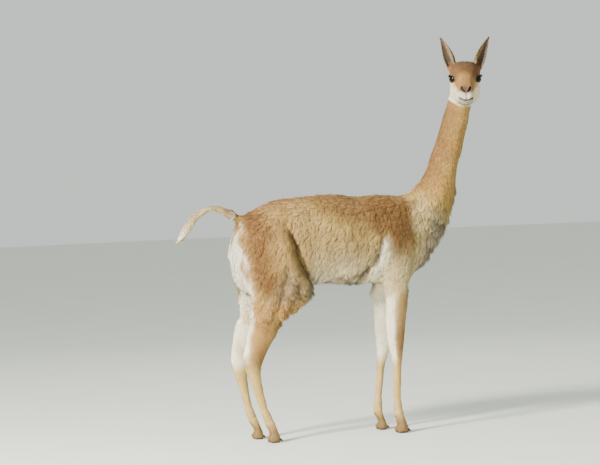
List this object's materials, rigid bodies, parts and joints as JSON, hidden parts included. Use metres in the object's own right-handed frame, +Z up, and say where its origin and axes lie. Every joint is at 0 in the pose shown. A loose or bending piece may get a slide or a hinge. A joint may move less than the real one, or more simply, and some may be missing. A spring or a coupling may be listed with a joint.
{
  "type": "vicuna",
  "caption": "Life-size still model of a standing vicuna, head turned to its right, ears up and tail lifted, on its own feet.",
  "frame": {"origin": "on the ground, under the middle of the animal's whole box", "axes": "+X towards the chest, +Y towards the animal's left, +Z up"},
  "size_m": [1.1822, 0.339, 1.4166],
  "materials": {
    "coat": "fine dense wool, matte",
    "leg_coat": "short smooth hair, matte",
    "horn": "satin horn",
    "eye": "wet gloss"
  },
  "bodies": {
    "root": {"ear_left": "coat", "ear_right": "coat", "eye_left": "eye", "eye_right": "eye", "fore_cannon_left": "leg_coat", "fore_cannon_right": "leg_coat", "fore_left_nail_left": "horn", "fore_left_nail_right": "horn", "fore_left_toe_left": "leg_coat", "fore_left_toe_right": "leg_coat", "fore_right_nail_left": "horn", "fore_right_nail_right": "horn", "fore_right_toe_left": "leg_coat", "fore_right_toe_right": "leg_coat", "foreleg_left": "leg_coat", "foreleg_right": "leg_coat", "head": "coat", "hind_cannon_left": "leg_coat", "hind_cannon_right": "leg_coat", "hind_left_nail_left": "horn", "hind_left_nail_right": "horn", "hind_left_toe_left": "leg_coat", "hind_left_toe_right": "leg_coat", "hind_right_nail_left": "horn", "hind_right_nail_right": "horn", "hind_right_toe_left": "leg_coat", "hind_right_toe_right": "leg_coat", "neck": "coat", "tail": "coat", "thigh_left": "coat", "thigh_right": "coat", "torso": "coat"}
  },
  "joints": []
}
